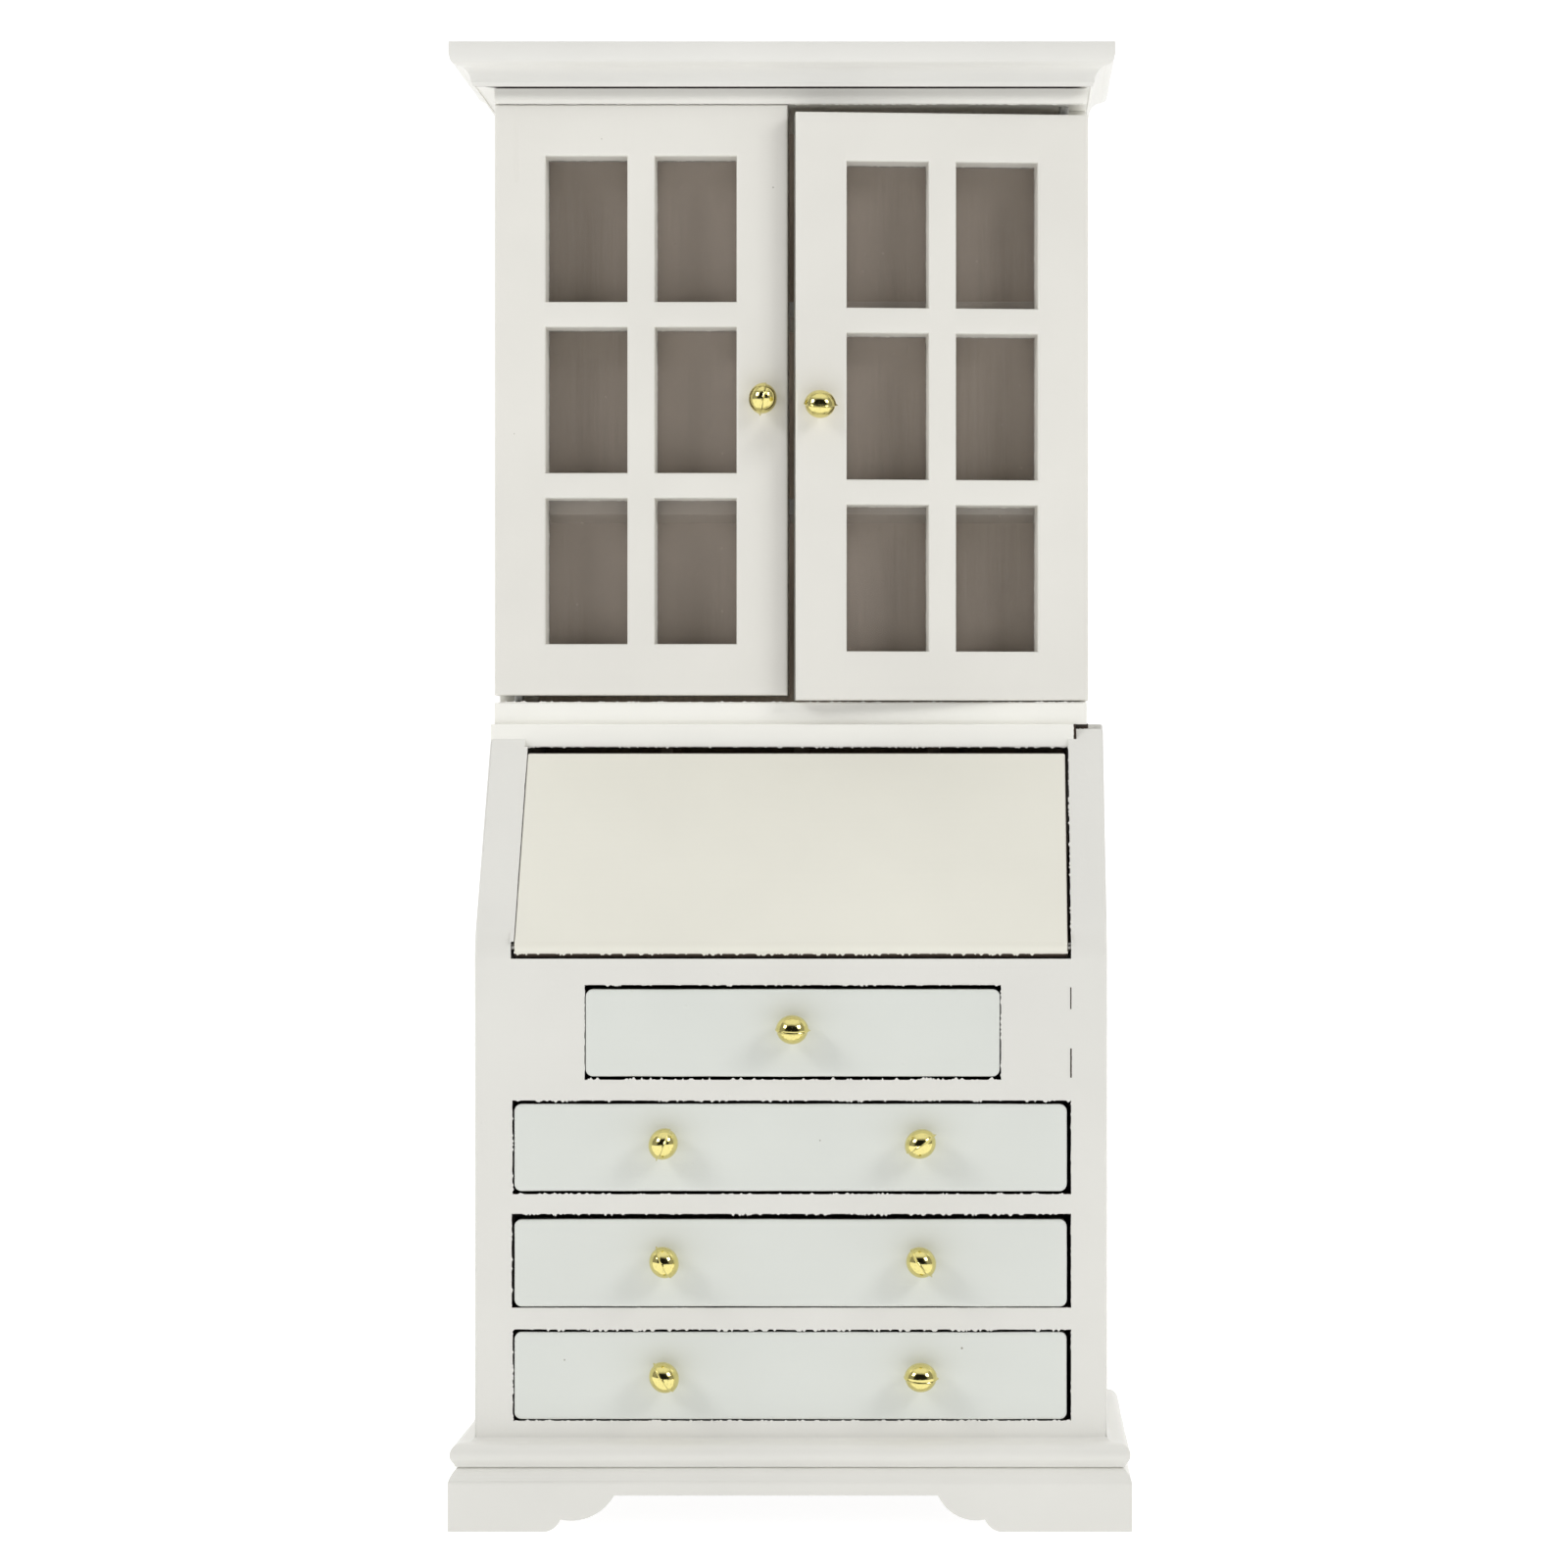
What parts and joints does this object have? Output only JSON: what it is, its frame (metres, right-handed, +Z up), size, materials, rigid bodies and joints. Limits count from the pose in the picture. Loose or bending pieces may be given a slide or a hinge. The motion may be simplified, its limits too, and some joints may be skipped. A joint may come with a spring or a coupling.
{
  "type": "miniature secretary desk",
  "caption": "Dolls house secretary desk in white paint: cornice, glazed cabinet doors, fall-front lid, drawers with gilt ball knobs, moulded base and bracket feet.",
  "frame": {"origin": "on the floor under the middle of the whole object's box", "axes": "+Z up, -Y towards the viewer that the doors and drawers face, +X to that viewer's right"},
  "size_m": [0.0834, 0.0515, 0.18],
  "materials": {
    "painted_wood": "satin white paint",
    "bare_wood": "unpainted",
    "gold_plating": "bright gilt",
    "clear_pane": "clear",
    "steel_pin": "drawn wire"
  },
  "bodies": {
    "case": {"apron_front": "painted_wood", "apron_left": "painted_wood", "apron_right": "painted_wood", "base_moulding_front": "painted_wood", "base_moulding_left": "painted_wood", "base_moulding_right": "painted_wood", "cabinet_back_panel": "bare_wood", "cabinet_bottom_board": "painted_wood", "cabinet_side_left": "painted_wood", "cabinet_side_right": "painted_wood", "cabinet_top_board": "painted_wood", "cornice_board": "bare_wood", "crown_front": "painted_wood", "crown_left": "painted_wood", "crown_right": "painted_wood", "desk_back_panel": "bare_wood", "desk_bottom_board": "painted_wood", "desk_side_left": "painted_wood", "desk_side_right": "painted_wood", "desk_top_board": "painted_wood", "drawer_rail_1": "painted_wood", "drawer_rail_2": "painted_wood", "drawer_rail_3": "painted_wood", "filler_blocks": "painted_wood", "foot_blocks": "bare_wood", "pigeonhole_dividers": "bare_wood", "pigeonhole_shelf": "bare_wood", "shelf_1": "painted_wood", "shelf_2": "painted_wood", "writing_board": "painted_wood"},
    "door_left": {"door_left_frame": "painted_wood", "door_left_glass": "clear_pane", "door_left_knob": "gold_plating", "door_left_pins": "steel_pin"},
    "door_right": {"door_right_frame": "painted_wood", "door_right_glass": "clear_pane", "door_right_knob": "gold_plating", "door_right_pins": "steel_pin"},
    "drawer_1": {"drawer_1_back": "bare_wood", "drawer_1_bottom": "bare_wood", "drawer_1_front": "painted_wood", "drawer_1_knobs": "gold_plating", "drawer_1_sides": "bare_wood"},
    "drawer_2": {"drawer_2_back": "bare_wood", "drawer_2_bottom": "bare_wood", "drawer_2_front": "painted_wood", "drawer_2_knobs": "gold_plating", "drawer_2_sides": "bare_wood"},
    "drawer_3": {"drawer_3_back": "bare_wood", "drawer_3_bottom": "bare_wood", "drawer_3_front": "painted_wood", "drawer_3_knobs": "gold_plating", "drawer_3_sides": "bare_wood"},
    "drawer_4": {"drawer_4_back": "bare_wood", "drawer_4_bottom": "bare_wood", "drawer_4_front": "painted_wood", "drawer_4_knobs": "gold_plating", "drawer_4_sides": "bare_wood"},
    "lid": {"lid_panel": "painted_wood", "lid_pins": "steel_pin"}
  },
  "joints": [
    {"name": "door_left_hinge", "type": "hinge", "parent": "case", "child": "door_left", "pos_m": [-0.03365, 0.00015, 0.13595], "axis": [0, 0, -1], "range_deg": [0, 100]},
    {"name": "door_right_hinge", "type": "hinge", "parent": "case", "child": "door_right", "pos_m": [0.03395, 0.00015, 0.13595], "axis": [0, 0, 1], "range_deg": [-4.5, 95.5]},
    {"name": "lid_hinge", "type": "hinge", "parent": "case", "child": "lid", "pos_m": [0.00095, -0.02012, 0.06945], "axis": [1, 0, 0], "range_deg": [0, 126]},
    {"name": "drawer_1_slide", "type": "slide", "parent": "case", "child": "drawer_1", "axis": [0, -1, 0], "range_m": [0, 0.03]},
    {"name": "drawer_2_slide", "type": "slide", "parent": "case", "child": "drawer_2", "axis": [0, -1, 0], "range_m": [0, 0.03]},
    {"name": "drawer_3_slide", "type": "slide", "parent": "case", "child": "drawer_3", "axis": [0, -1, 0], "range_m": [0, 0.03]},
    {"name": "drawer_4_slide", "type": "slide", "parent": "case", "child": "drawer_4", "axis": [0, -1, 0], "range_m": [0, 0.03]}
  ]
}
